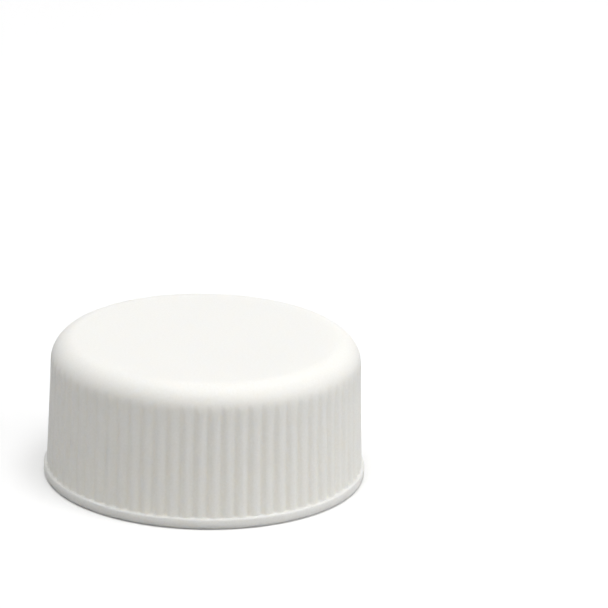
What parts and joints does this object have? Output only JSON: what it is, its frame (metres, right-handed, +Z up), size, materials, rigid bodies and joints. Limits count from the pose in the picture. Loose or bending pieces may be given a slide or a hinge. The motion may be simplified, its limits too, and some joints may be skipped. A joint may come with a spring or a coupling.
{
  "type": "septum screw cap",
  "caption": "White ribbed screw cap with a closed flat top, a smooth band round its open rim, an inside thread and a flat septum disc that seals the neck.",
  "frame": {"origin": "centre of the open rim, in the plane that the cap stands on", "axes": "+Z up the cap's axis to the closed top; a flute of the ribbed wall is centred on +X"},
  "size_m": [0.023, 0.023, 0.0102],
  "materials": {
    "cap_plastic": "moulded white polypropylene, fine matte texture with a soft sheen",
    "septum_rubber": "flat warm grey silicone rubber, matte, punched from sheet"
  },
  "bodies": {
    "root": {"cap_shell": "cap_plastic", "septum_disc": "septum_rubber"}
  },
  "joints": []
}
